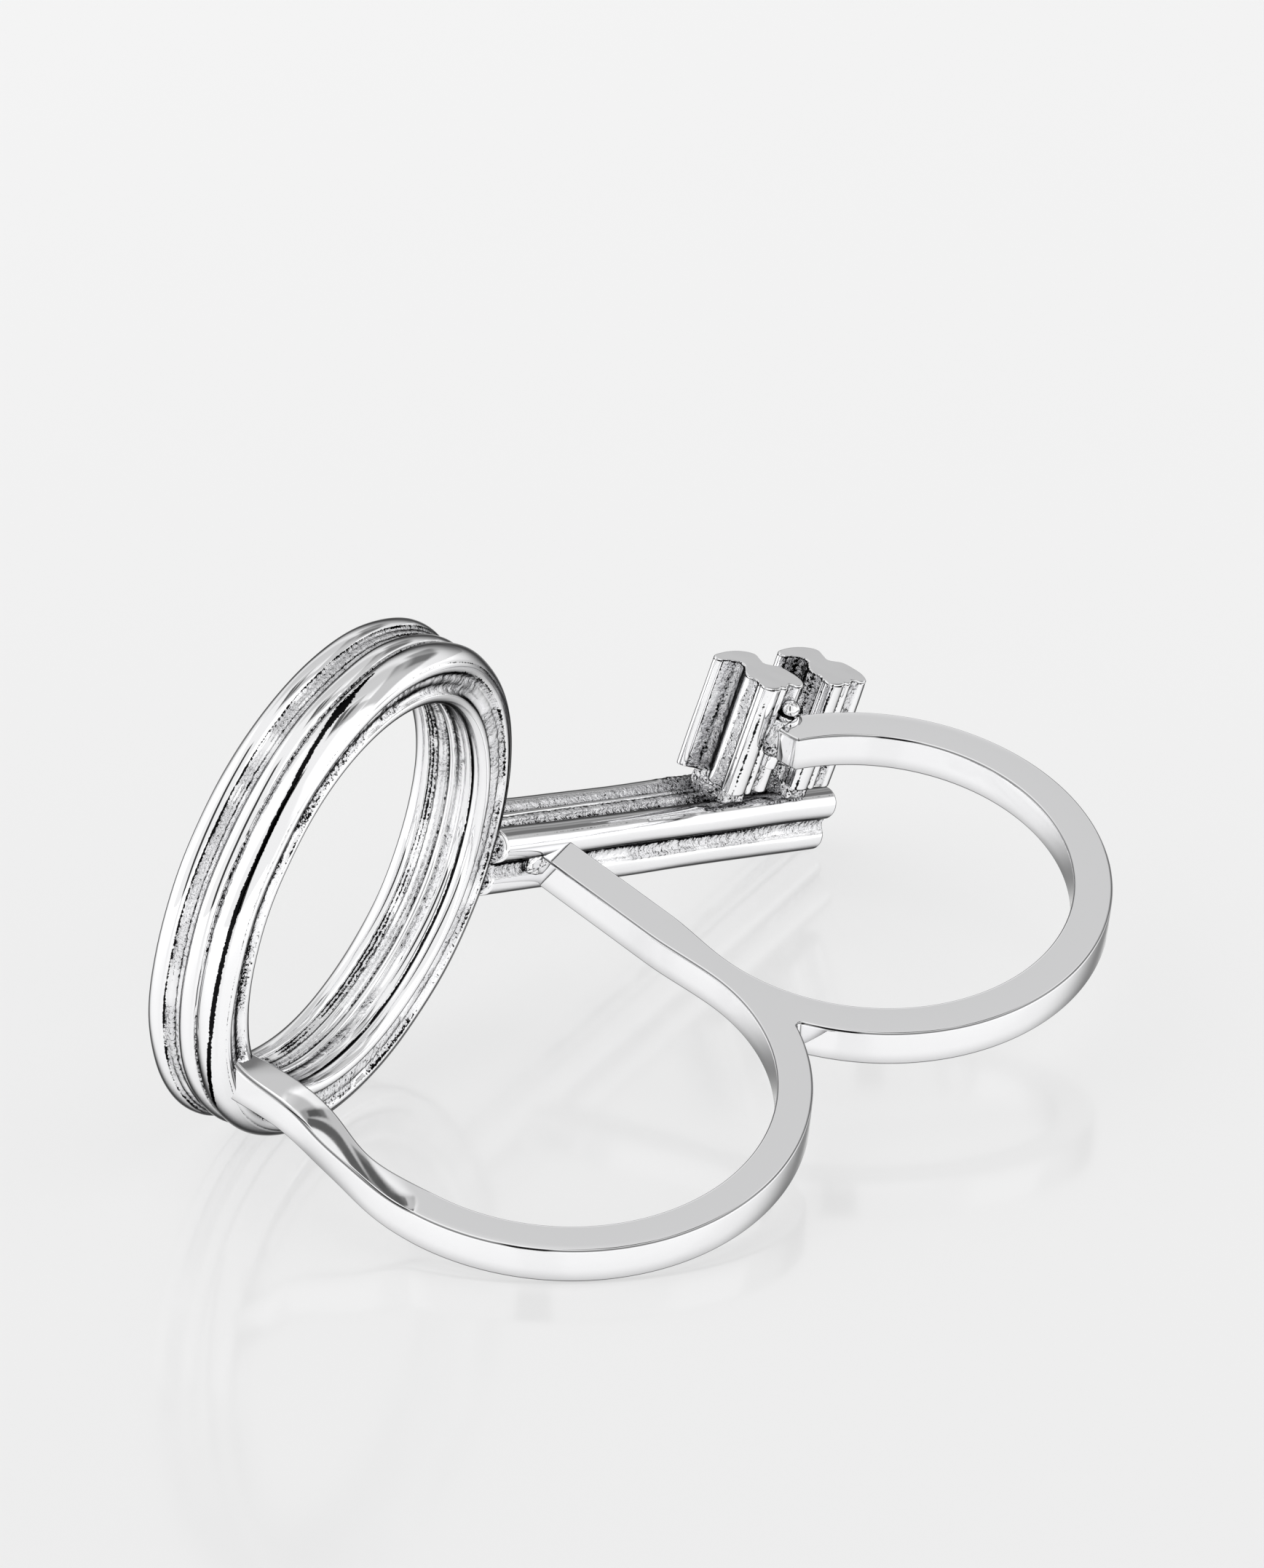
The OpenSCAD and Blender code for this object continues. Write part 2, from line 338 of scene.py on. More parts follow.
def silver_cast():
    """Sterling silver cast from a hand-cut wax, then polished on its ribs. The crests are mirrors, the
    valleys keep a bright sandy skin with grains about 0.12 mm wide, and the bottoms of the grooves,
    which no wheel reaches, stay black in broken lines."""
    _, key, look, _ = sizes()
    m, t = start_material(CAST)
    place = add_node(t, "ShaderNodeTexCoord")
    sandy = add_node(t, "ShaderNodeAttribute", {"attribute_name": "sand"})
    deep = add_node(t, "ShaderNodeAttribute", {"attribute_name": "dark"})
    per_m = 1.0 / (key.sand * 2.2)
    coarse = add_node(t, "ShaderNodeTexNoise", {"Scale": per_m, "Detail": 3.0, "Roughness": 0.65},
                      [("Vector", place, "Object")])
    mask = add_node(t, "ShaderNodeMapRange", {"From Min": 0.08, "From Max": 0.6}, [("Value", sandy, "Fac")])
    height = add_node(t, "ShaderNodeMath", {"operation": "MULTIPLY"},
                      [(0, coarse, "Fac"), (1, mask, "Result")])
    bump = add_node(t, "ShaderNodeBump", {"Strength": 1.0, "Distance": 0.00011},
                    [("Height", height, "Value")])
    waves = add_node(t, "ShaderNodeTexNoise", {"Scale": 420.0, "Detail": 1.5}, [("Vector", place, "Object")])
    soft = add_node(t, "ShaderNodeBump", {"Strength": 0.45, "Distance": 0.00006},
                    [("Height", waves, "Fac"), ("Normal", bump, "Normal")])
    rough = add_node(t, "ShaderNodeMapRange", {"From Min": 0.05, "From Max": 0.7, "To Min": look.gloss,
                                               "To Max": 0.2}, [("Value", sandy, "Fac")])
    pits = add_node(t, "ShaderNodeTexNoise", {"Scale": per_m * 2.1, "Detail": 2.0, "Roughness": 0.7},
                    [("Vector", place, "Object")])
    specks = add_node(t, "ShaderNodeMath", {"operation": "MULTIPLY_ADD", 1: 0.25},
                      [(0, mask, "Result"), (2, pits, "Fac")])
    level = add_node(t, "ShaderNodeMath", {"operation": "MULTIPLY_ADD", 1: 0.75},
                     [(0, deep, "Fac"), (2, specks, "Value")])
    black = add_node(t, "ShaderNodeMapRange", {"interpolation_type": "SMOOTHSTEP", "From Min": 0.84,
                                               "From Max": 0.94}, [("Value", level, "Value")])
    colour = add_node(t, "ShaderNodeMix", {"data_type": "RGBA", COLOUR_A: tuple(look.polished),
                                           COLOUR_B: tuple(look.groove)}, [(0, mask, "Result")])
    shaded = add_node(t, "ShaderNodeMix", {"data_type": "RGBA", COLOUR_B: tuple(look.deep)},
                      [(0, black, "Result"), (COLOUR_A, colour, MIXED)])
    # Painted shade at the outline of the cast parts, as on the band
    finish_silver(t, rim_shade(t, shaded, look.rim, 0.5, 0.82), rough, soft, 0.35)
    return m


def material(name, make):
    """The named material, made once and then shared."""
    return bpy.data.materials.get(name) or make()


# Band

# Middle of the first loop, and the strut's two sides and its tip, in the worn ring's millimetres
LOOP1_C = np.array([-18.7, -0.6])
STRUT_LEFT, STRUT_RIGHT, STRUT_TOP = -10.08, -8.44, 10.35
# Angle on the first loop where the twisted end begins, and the way outwards from the loop there
TWIST_START = 191.9
TWIST_OUT = np.array([math.cos(math.radians(TWIST_START)), math.sin(math.radians(TWIST_START))])
# Angles in degrees of the second loop's inside and outside, and of the first loop's outside
LOOP2_IN, LOOP2_OUT, LOOP1_OUT = (181, 425.2), (419.6, 209.3), (334.4, TWIST_START)
# Control points of the twisted end's curve after its first two, and of its turn in degrees
TWIST_WAY = np.array([[-30.924, 1.475, 2.386], [-26.699, 3.275, 0.26], [-30.021, 5.047, 2.725],
                      [-30.683, 6.034, 3.6]])
TWIST_TURN = np.array([0.0, 0.0, -25.62, -2.63, 22.77])
# How far the first handle reaches, where the curve stops, in how many steps, and along it the share
# of the wall that the twist takes away with its middle and reach, the thinning and the rounding
TWIST_HANDLE, TWIST_LAST, TWIST_STEPS = 1.9, 1.06, 60
NARROW, NARROW_AT, NARROW_OVER, THIN, ROUND = 0.2535, 0.316, 0.16, 0.172, 0.12


def arc(centre, radius, start, stop):
    """Points on a circle from one angle to another, in degrees, about one degree apart."""
    n = max(2, int(abs(stop - start)) + 1)
    a = np.radians(np.linspace(start, stop, n))
    return np.c_[centre[0] + radius * np.cos(a), centre[1] + radius * np.sin(a)]


def bend(a, b, c, count):
    """Quadratic curve from a to c that leaves and meets them along the lines to b."""
    t = np.linspace(0, 1, count)[:, None]
    return (1 - t) ** 2 * np.asarray(a) + 2 * t * (1 - t) * np.asarray(b) + t * t * np.asarray(c)


def bezier(points, t):
    """Curve over any number of control points: each step blends neighbours by t until one is left."""
    p = np.asarray(points, float)[:, None] + 0 * t[None, :, None]
    while len(p) > 1:
        p = (1 - t[:, None]) * p[:-1] + t[:, None] * p[1:]
    return p[0]


def band_outline(r1, w1, r2, w2):
    """Open outline of the flat band seen along the finger, metal on its right: first loop's inside,
    strut, second loop's inside, flush end, second loop's outside, notch, first loop's outside."""
    inner1 = arc(LOOP1_C, r1, TWIST_START, 360)
    x, top = STRUT_LEFT, STRUT_TOP
    y = np.linspace(LOOP1_C[1], 3.2, 24)[1:]
    left = np.c_[LOOP1_C[0] + r1 - (LOOP1_C[0] + r1 - x) * smooth((y - LOOP1_C[1]) / 3.8), y]
    left = np.r_[left, [[x, 6.0], [x, 9.4]], bend([x, top - 0.15], [x, top], [x + 0.15, top], 4)]
    x = STRUT_RIGHT
    right = np.r_[bend([x - 0.15, top], [x, top], [x, top - 0.15], 4), [[x, 9.4], [x, 6.0]]]
    y = np.linspace(3.4, 0.0, 24)
    right = np.r_[right, np.c_[x - (r2 + x) * (1 - smooth(y / 3.4)), y]]
    inner2 = arc((0, 0), r2, *LOOP2_IN)
    tip = np.r_[bend([3.62, 7.87], [3.58, 8.05], [3.55, 8.2], 4),
                bend([3.46, 8.8], [3.44, 8.99], [3.62, 9.02], 4)]
    end = bend([4.5, 9.1], [4.86, 9.12], arc((0, 0), r2 + w2, 60.6, 60.6)[0], 5)
    outer2 = arc((0, 0), r2 + w2, *LOOP2_OUT)
    outer1 = arc(LOOP1_C, r1 + w1, *LOOP1_OUT)
    notch = bend(outer2[-1], [-9.22, -4.62], outer1[0], 9)[1:-1]
    return np.concatenate([inner1, left, right, inner2, tip, end, outer2, notch, outer1])


def wall_profile(half_w, edge, steps=4):
    """Inset, height and painted edge shade of the band's side, from the flat top round the edge to the flat
    underside: quarter circles at both edges, with the painted shade strongest halfway round each."""
    a = np.radians(np.linspace(0, 90, steps + 1))
    inset = edge * (1 - np.sin(a))
    height = half_w - edge * (1 - np.cos(a))
    way = np.linspace(0, 1, steps + 1)
    top_shade = 1 - np.abs(2 * way - 1)
    low_shade = np.clip(1.5 - np.abs(4 * way - 1.5) * 0.6, 0, 1)
    return np.r_[inset, inset[::-1]], np.r_[height, -height[::-1]], np.r_[top_shade, low_shade]


def twist_rings(t, r1, w1, half_w, edge):
    """Rings of the twisted end at steps t of its curve. The band's section is set square to a Bezier
    curve and turned about it by an angle that a curve of its own gives. It is drawn narrower where it
    twists, by a bell over t, and thinner towards the bow, by t squared, and its outer top edge grows
    rounder in step with t."""
    out = np.r_[TWIST_OUT, 0]
    p0 = np.r_[LOOP1_C, 0] + (r1 + w1 / 2) * out
    way = np.vstack([p0, p0 + TWIST_HANDLE * np.array([out[1], -out[0], 0]), TWIST_WAY])
    pos, d = bezier(way, t), unit(bezier(np.diff(way, axis=0), t))
    side = unit(out - (d @ out)[:, None] * d)
    turn = np.radians(bezier(TWIST_TURN[:, None], t))
    u = np.cos(turn) * side + np.sin(turn) * np.cross(d, side)
    w = np.cross(d, u)
    t = t[:, None]
    wide = w1 / 2 * (1 - NARROW * np.exp(-((t - NARROW_AT) / NARROW_OVER) ** 2))
    thin = 1 - THIN * t * t
    grow = edge + ROUND * t
    inset, height, _ = wall_profile(half_w, edge)
    half = len(inset) // 2
    a = np.radians(np.linspace(0, 90, half))
    outer = np.stack([wide - grow * (1 - np.sin(a)), half_w * thin - grow * (1 - np.cos(a))], -1)
    outer_low = np.stack([wide - inset[half:], height[half:] * thin], -1)
    inner = np.stack([inset - wide, height * thin], -1)
    section = np.concatenate([inner, np.concatenate([outer, outer_low], 1)[:, ::-1]], 1)
    return pos[:, None] + section[..., :1] * u[:, None] + section[..., 1:] * w[:, None]


def build_band():
    """The whole flat wire as one skin: the outline's wall, its two flat faces, and the twisted end
    welded on, which starts from the wall's own two ends."""
    b, _, _, _ = sizes()
    r1, w1, r2, w2 = [MM * v for v in (b.loop1_r, b.loop1_wall, b.loop2_r, b.loop2_wall)]
    half_w, edge = MM * b.width / 2, MM * b.edge
    line = band_outline(r1, w1, r2, w2)
    # Of points that fall together, one is kept
    apart = np.linalg.norm(np.diff(line, axis=0), axis=1) > 1e-4
    line = line[np.r_[True, apart]]
    way = np.gradient(line, axis=0)
    normal = unit(np.c_[-way[:, 1], way[:, 0]])
    normal[0], normal[-1] = -TWIST_OUT, TWIST_OUT
    inset, height, edge_shade_at = wall_profile(half_w, edge)
    n, m = len(line), len(inset)
    walls = np.empty((n, m, 3))
    walls[..., :2] = line[:, None] - inset[None, :, None] * normal[:, None]
    walls[..., 2] = height
    faces = grid_faces(n, m, wrap_cols=False)
    # The outline keeps its points and their order when it is cut into the flat faces' triangles
    tris = np.array(delaunay_2d_cdt([Vector(p) for p in line.tolist()], [], [list(range(n))], 1, 1e-9)[2])
    faces += (tris[:, ::-1] * m).tolist() + (tris * m + m - 1).tolist()
    t = np.linspace(0, TWIST_LAST, TWIST_STEPS + 1)[1:]
    rings = twist_rings(t, r1, w1, half_w, edge)
    first = np.r_[np.arange(m), (n - 1) * m + np.arange(m)[::-1]]
    ids = np.vstack([first, n * m + np.arange(len(t) * 2 * m).reshape(len(t), 2 * m)])
    before, after = ids[:-1], ids[1:]
    quads = np.stack([before, after, np.roll(after, -1, 1), np.roll(before, -1, 1)], -1)
    faces += quads.reshape(-1, 4).tolist() + [ids[-1].tolist()[::-1]]
    points = np.concatenate([walls.reshape(-1, 3), rings.reshape(-1, 3)])
    # Painted shade along the rounded edges, stored as the edge layer for the band's colour
    edge_shade_at = np.concatenate([np.tile(edge_shade_at, n), np.tile(np.r_[edge_shade_at, edge_shade_at[::-1]], len(t))])
    weigh_normals(make_piece("finger_band", points, faces, material(MIRROR, silver_band), {"edge": edge_shade_at}))


# Key

# Where the stem starts at the bow and its slope, then the middle of the bow's palm side face and the
# bow's turn
KEY_AT = np.array([-11.93, 9.45, 2.5])
SLOPE = math.radians(24.0)
BOW_AT = np.array([-21.61, 7.67, 6.6])
BOW_TURN = math.radians(13.64)
# How far the circles of the hole's ribs and of the outer ribs lie off the bow's middle
HOLE_OFF = -0.2
OUTER_OFF = (-0.04, -0.08)
# Longest step along the bow's section, how many faces its skin may have, and the section's middle
BOW_STEP = 0.105
BOW_FACES = 99000
BOW_MID = (9.6, -1.9)
# Centre and radius of the bow's large palm side rib, and the length of one degree on it
LARGE_RIB = (9.98, -0.88, 0.86)
RIB_DEGREE = 0.015
# Dark crease on the large rib: angles round the bow against its angle on the rib, and against its width
CREASE_WAY = ((60, 90, 98, 120, 134, 178, 200, 215, 240), (-34, -15, -10, 12, 18, 18, 0, -16, -40))
CREASE_WIDE = ((80, 91, 97, 105, 125, 190, 208, 222), (0, 0.12, 0.26, 0.13, 0.11, 0.11, 0.12, 0))

# Section of the bow as radius and height from the palm side face, from the dorsal rim over the
# outside to the palm side, in to the hole and back. A rib's row: centre, radius, angles, sandiness,
# darkness. A groove's row: place, sandiness, darkness
BOW_RIBS = [
    (10.52, -3.20, 0.50, -95, 38, 0, 0), (10.86, -2.86, 0.1, 0.85), (10.78, -2.79, 0.8, 0),
    (10.50, -2.66, 0.24, -30, 42, 0.8, 0), (10.60, -2.48, 1, 0.4), (10.44, -2.36, 0.22, -28, 30, 0.8, 0),
    (10.58, -2.24, 0.6, 0.3), (10.29, -1.90, 0.52, -40, 42, 0, 0), (10.60, -1.52, 1, 0.25),
    (10.56, -1.47, 1, 0.15), (*LARGE_RIB, -42, -32, 0.7, 0.1),
    *[(*LARGE_RIB, a, b, 0, 0)
      for a, b in ((-28, -15), (-11, -3), (1, 9), (13, 21), (25, 33), (37, 60))],
    (10.35, -0.13, 0, 0.6), (*LARGE_RIB, 67, 82, 0, 0), (9.97, -0.06, 0.1, 0.6), (9.89, -0.16, 1, 0.1),
    (9.77, -0.24, 1, 0), (9.62, -0.22, 0.8, 0), (9.46, -0.26, 1, 0), (9.30, -0.34, 1, 0),
    (9.14, -0.35, 1, 0.1), (9.04, -0.28, 0.8, 0), (8.97, -0.16, 0, 0.5),
    (8.84, -0.52, 0.40, 78, 205, 0, 0), (8.56, -0.76, 0.2, 1), (8.60, -0.84, 0.4, 0.8),
    (9.00, -1.25, 0.50, 140, 178, 0, 0), (9.00, -1.25, 0.50, 186, 222, 0.9, 0), (8.66, -1.66, 0.9, 0.15),
    (8.66, -1.82, 0.15, 120, 245, 0, 0), (8.66, -2.01, 1, 0.4), (8.68, -2.08, 1, 0.1),
    (8.80, -2.32, 0.29, 130, 235, 0.45, 0), (8.70, -2.62, 1, 0.3), (8.66, -2.71, 0.9, 0),
    (8.69, -2.79, 1, 0.5), (8.66, -2.88, 0.9, 0), (8.70, -2.97, 1, 0.6),
    (8.90, -3.32, 0.43, 130, 275, 0, 0), (9.12, -3.66, 0.9, 0.2), (9.24, -3.62, 1, 0.1),
    (9.60, -3.42, 0.27, 215, 325, 0, 0), (9.96, -3.58, 1, 0.1), (10.16, -3.60, 0.9, 0.1),
]


def build_bow():
    """Ring of the bow: its ribbed section carried round the bow's axis. The outer ribs and the ribs
    round the hole sit on two circles a little off the centre. Radius and height drift with the angle
    as hand-carved wax does, and sandy stretches are pushed in and out by noise. One dark crease wanders
    over the large rib: its angle on the rib is read from a short table by the angle round the bow."""
    sec = rib_line(BOW_RIBS, BOW_STEP)
    across = len(sec)
    around = BOW_FACES // across
    a = np.linspace(0, 2 * np.pi, around, endpoint=False)[:, None]
    r, z, sand, dark = [sec[None, :, i] + 0 * a for i in range(4)]
    cos, sin = np.cos(a), np.sin(a)
    hole = np.where(z > -0.5, smooth((10.5 - r) / 0.35), smooth((9.5 - r) / 0.3))
    on_rib = np.degrees(np.arctan2(z - LARGE_RIB[1], r - LARGE_RIB[0]))
    crease = np.interp(np.degrees(a), *CREASE_WAY)
    wide = np.interp(np.degrees(a), *CREASE_WIDE)
    line = 1 - smooth(np.abs(on_rib - crease) * RIB_DEGREE / (wide + 1e-6) - 0.35)
    polished_rib = (r > 9.6) & (z > -1.6) & (sand < 0.05)
    dark = np.maximum(dark, np.where(polished_rib, line * (wide > 0.02) * 1.2, 0))
    x = r * cos + HOLE_OFF * hole + OUTER_OFF[0] * (1 - hole)
    y = r * sin + OUTER_OFF[1] * (1 - hole)
    flat = np.stack([x, y, 2.2 * z], -1)
    drift = 0.035 * grain(flat, 2.6, 3) - 0.02
    x, y, z = x + drift * cos, y + drift * sin, z + 0.03 * grain(flat, 3.1, 5)
    e1 = np.array([math.cos(BOW_TURN), math.sin(BOW_TURN), 0])
    e2 = np.array([0, 0, 1.0])
    axis = np.array([math.sin(BOW_TURN), -math.cos(BOW_TURN), 0])
    p = BOW_AT + x[..., None] * e1 + y[..., None] * e2 + z[..., None] * axis
    rough = grain(p, 0.16, 7) + 0.6 * grain(p, 0.09, 8)
    sand = np.clip(sand * (0.72 + 0.9 * grain(p, 1.1, 11)), 0, 1)
    dark = np.clip(dark * (0.85 + 0.4 * grain(p, 1.1, 12)), 0, 1)
    # The groove on the palm side is blackest on the side away from the stem
    palm_groove = (z > -0.5) & (sec[None, :, 0] < 10.1)
    dark = dark + 0.16 * sand * smooth((0.2 - cos) / 0.8) * palm_groove
    dr, dz = sec[None, :, 0] - BOW_MID[0], sec[None, :, 1] - BOW_MID[1]
    span = np.hypot(dr, dz) + 1e-6
    push = 0.03 * rough * sand
    p = p + (push * dr / span)[..., None] * (cos[..., None] * e1 + sin[..., None] * e2)
    p = p + (push * dz / span)[..., None] * axis
    make_piece("bow_ring", p, grid_faces(around, across, wrap_rows=True), material(CAST, silver_cast),
               {"sand": sand, "dark": dark})


def key_place(local):
    """Stem's own frame (along the bar, towards the back, outwards) to the worn ring's."""
    x, y, z = np.moveaxis(np.asarray(local, float), -1, 0)
    c, s = math.cos(SLOPE), math.sin(SLOPE)
    return KEY_AT + np.stack([c * x + s * z, y, -s * x + c * z], -1)


# Longest step along the stem's section, how many rings its skin has, and the section's middle
STEM_STEP = 0.075
STEM_RINGS = 400
STEM_MID = np.array([1.65, -1.05])
# Direction of the bow's radius where the stem meets it, in the worn ring's frame
BOW_RADIAL = np.array([0.864, 0.212, -0.456])

# Section of the stem as depth towards the back and height, from the large palm rib down, round the
# back and over the top, with rows as in the bow's table
STEM_RIBS = [
    (0.74, -0.30, 0.74, 62, 122, 0, 0), (0.33, 0.31, 0, 0.55), (0.74, -0.30, 0.74, 127, 236, 0, 0),
    (0.36, -0.95, 0.3, 1), (0.38, -1.02, 1, 0.4), (0.40, -1.14, 1, 0), (0.38, -1.28, 0.9, 0),
    (0.71, -1.95, 0.67, 128, 142, 0.6, 0), (0.71, -1.95, 0.67, 150, 300, 0, 0), (1.20, -2.36, 1, 0.4),
    (1.66, -2.20, 0.26, 215, 325, 0.2, 0), (2.10, -2.32, 1, 0.4), (2.85, -2.05, 0.44, 225, 395, 0, 0),
    (3.14, -1.60, 1, 0.6), (3.06, -1.10, 0.24, 300, 420, 0.2, 0), (3.12, -0.62, 1, 0.6),
    (2.95, -0.02, 0.42, 315, 462, 0, 0), (2.82, 0.36, 0.5, 0), (2.70, 0.28, 0.9, 0), (2.58, 0.15, 1, 0),
    (2.46, 0.06, 1, 0.2), (2.36, 0.08, 0.6, 0), (2.26, 0.06, 0.15, 30, 140, 0, 0), (2.12, 0.04, 0.6, 0.7),
    (2.05, 0.08, 0.8, 0), (1.90, 0.00, 0.24, 50, 130, 0.6, 0), (1.70, 0.06, 1, 0), (1.60, 0.00, 1, 0.25),
    (1.48, -0.02, 0.6, 0.3), (1.36, 0.03, 0, 0.5), (1.22, 0.14, 0, 0),
]


def cap_rings(ring, middle, depth_way, steps):
    """Rings that close an open end: the last ring drawn in to its middle in even steps, each a
    little further along depth_way, so the cut face is slightly crowned."""
    k = np.asarray(steps)[:, None, None]
    return middle + (ring - middle) * k + depth_way * (0.1 * (1 - k))


def build_stem():
    """Ribbed bar: its section carried along the key, drifting a little in depth and height, closed by
    two rough cut faces. The near face lies square to the bow's rim and is bedded in it."""
    _, key, _, _ = sizes()
    length = MM * key.stem_l
    sec = rib_line(STEM_RIBS, STEM_STEP)
    k = np.linspace(0, 1, STEM_RINGS)[:, None]
    c, s = math.cos(SLOPE), math.sin(SLOPE)
    # The near end's plane is square to the bow's radius, let in by a third of a millimetre
    rx, ry, rz = unit(BOW_RADIAL)
    near = (-0.35 - ry * sec[:, 0] - (s * rx + c * rz) * (sec[:, 1] + 0.3)) / (c * rx - s * rz)
    near = np.clip(near, -1.4, 0.25)
    x = near[None] + (length - near[None]) * k
    y, z, sand, dark = [sec[None, :, i] + 0 * k for i in range(4)]
    flat = np.stack([x * 0.5, y * 2, z * 2], -1)
    y = y + 0.03 * grain(flat, 2.0, 21)
    z = z + 0.045 * grain(flat, 2.2, 22)
    p = np.stack([x, y, z], -1)
    # Rough and dark round the feet of the bit
    near_bit = smooth((x - 12.2) / 1.2) * smooth((z + 0.12) / 0.1) * smooth((y - 0.95) / 0.25)
    near_bit = np.clip(near_bit * (0.9 + 0.5 * grain(p, 1.3, 27)), 0, 1)
    sand = np.clip(sand * (0.8 + 0.6 * grain(p, 0.9, 23)) + near_bit, 0, 1)
    dark = np.clip(dark * (0.8 + 0.5 * grain(p, 1.1, 26)) + 0.1 * near_bit, 0, 1)
    # The groove under the large rib brightens towards the outer end
    dark = dark * (1 - 0.8 * smooth((x - 14.5) / 4.0) * smooth((-0.6 - z) / 0.2))
    rough = grain(p, 0.16, 24) + 0.6 * grain(p, 0.09, 25)
    away = unit(p[..., 1:] - STEM_MID)
    p[..., 1:] += (0.04 * rough * sand)[..., None] * away
    # Rounded rims of the two ends
    for end, way in ((0, 1.0), (-1, -1.0)):
        for i, (cut, back) in enumerate(((0.09, 0.0), (0.035, 0.05), (0.0, 0.14))):
            j = i if end == 0 else -1 - i
            p[j, :, 1:] -= cut * away[j]
            p[j, :, 0] = p[end, :, 0] + way * back if i else p[end, :, 0]
    steps = np.linspace(0.92, 0.02, 16)
    first, last = [cap_rings(p[end], np.r_[p[end, :, 0].mean(), STEM_MID], np.array([way, 0, 0]), steps)
                   for end, way in ((0, -0.5), (-1, 0.5))]
    for ring, seed in ((first, 31), (last, 32)):
        ring[..., 0] += 0.03 * grain(ring, 0.18, seed)
    rings = np.concatenate([first[::-1], p, last])
    size = first.shape[:2]
    layer = np.concatenate([np.full(size, 0.8), sand, np.full(size, 0.55)])
    shade = np.concatenate([np.full(size, 0.14), dark, np.zeros(size)])
    make_piece("key_stem", key_place(rings), tube_faces(len(rings), len(sec)), material(CAST, silver_cast),
               {"sand": layer, "dark": shade})


# Points of a bit block's section, its rings, and its place: along the stem and above it, how much
# nearer the palm the outer block sits, and the lean towards the bow
BLOCK_POINTS = 230
BLOCK_RINGS = 70
BLOCK_X, BLOCK_Z, BLOCK_DROP = 13.28, 1.15, 0.22
BLOCK_LEAN = math.tan(math.radians(4.1))

# Section of a bit block at its flat end: along the stem, towards the back, sandiness, darkness
BLOCK_SECTION = [
    (0.02, 3.00, 0, 0), (0.10, 3.14, 0, 0), (0.28, 3.26, 0, 0), (0.66, 3.35, 0.1, 0), (1.39, 3.42, 0, 0),
    (2.08, 3.35, 0, 0), (2.60, 3.14, 0.1, 0), (2.75, 2.90, 0.3, 0), (2.60, 2.52, 0.9, 0.1),
    (2.50, 2.20, 1, 0.1), (2.70, 1.98, 0.6, 0), (3.18, 1.72, 0.1, 0), (3.33, 1.20, 0.1, 0),
    (3.33, 0.66, 0, 0), (3.10, 0.24, 0, 0), (2.75, 0.07, 0, 0), (2.48, 0.10, 0.1, 0.1),
    (2.36, 0.22, 0.9, 0.1), (2.12, 0.27, 1, 0), (1.92, 0.20, 0.9, 0.2), (1.80, 0.08, 0, 0),
    (1.60, 0.05, 0, 0), (1.43, 0.13, 0, 0.55), (1.26, 0.06, 0, 0), (0.95, 0.04, 0, 0), (0.70, 0.08, 0, 0),
    (0.57, 0.14, 0, 0.75), (0.48, 0.20, 0, 0.1), (0.41, 0.34, 0, 0), (0.44, 0.49, 0, 0.45),
    (0.41, 0.62, 0, 0), (0.50, 0.73, 0.8, 0.2), (0.58, 0.88, 1, 0), (0.56, 1.05, 1, 0),
    (0.47, 1.16, 0.8, 0.1), (0.41, 1.28, 0, 0), (0.47, 1.48, 0, 0), (0.62, 1.68, 0, 0),
    (0.82, 1.86, 0.1, 0.4), (0.99, 2.02, 0.3, 0), (1.14, 2.20, 0.5, 0), (1.20, 2.40, 1, 0),
    (1.10, 2.56, 1, 0), (0.95, 2.60, 1, 0.3), (0.80, 2.68, 1, 0), (0.58, 2.75, 1, 0),
    (0.46, 2.80, 0.6, 0), (0.38, 2.80, 0.1, 0.8), (0.30, 2.76, 0, 0.1), (0.18, 2.80, 0, 0),
    (0.07, 2.89, 0, 0),
]


